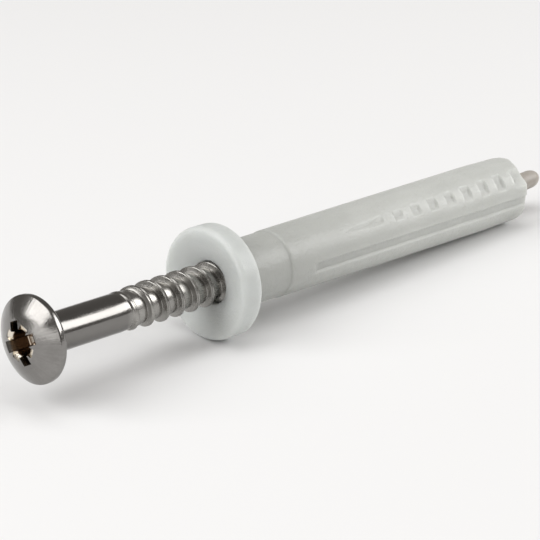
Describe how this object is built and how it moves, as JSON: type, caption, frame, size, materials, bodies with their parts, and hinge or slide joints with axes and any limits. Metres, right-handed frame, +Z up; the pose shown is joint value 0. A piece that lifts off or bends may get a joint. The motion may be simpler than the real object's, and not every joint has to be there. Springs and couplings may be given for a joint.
{
  "type": "hammer fixing plug",
  "caption": "Moulded nylon wall plug sleeve with a round dished collar, webbed split lines and a tip pin, with a domed cross-recess screw nail started in its bore.",
  "frame": {"origin": "centre of the footprint's bounding box, on the surface that the fixing lies on", "axes": "+X from the screw head to the sleeve's tip, seen from above; the fixing's own axis dips 2.9 degrees below +X because the collar is thicker than the sleeve's end; +Z up"},
  "size_m": [0.0646, 0.0098, 0.0099],
  "materials": {
    "nylon": "translucent off-white, satin as moulded",
    "steel": "plain stainless, bright as rolled and headed"
  },
  "bodies": {
    "root": {"plug_sleeve": "nylon", "drive_screw": "steel"}
  },
  "joints": []
}
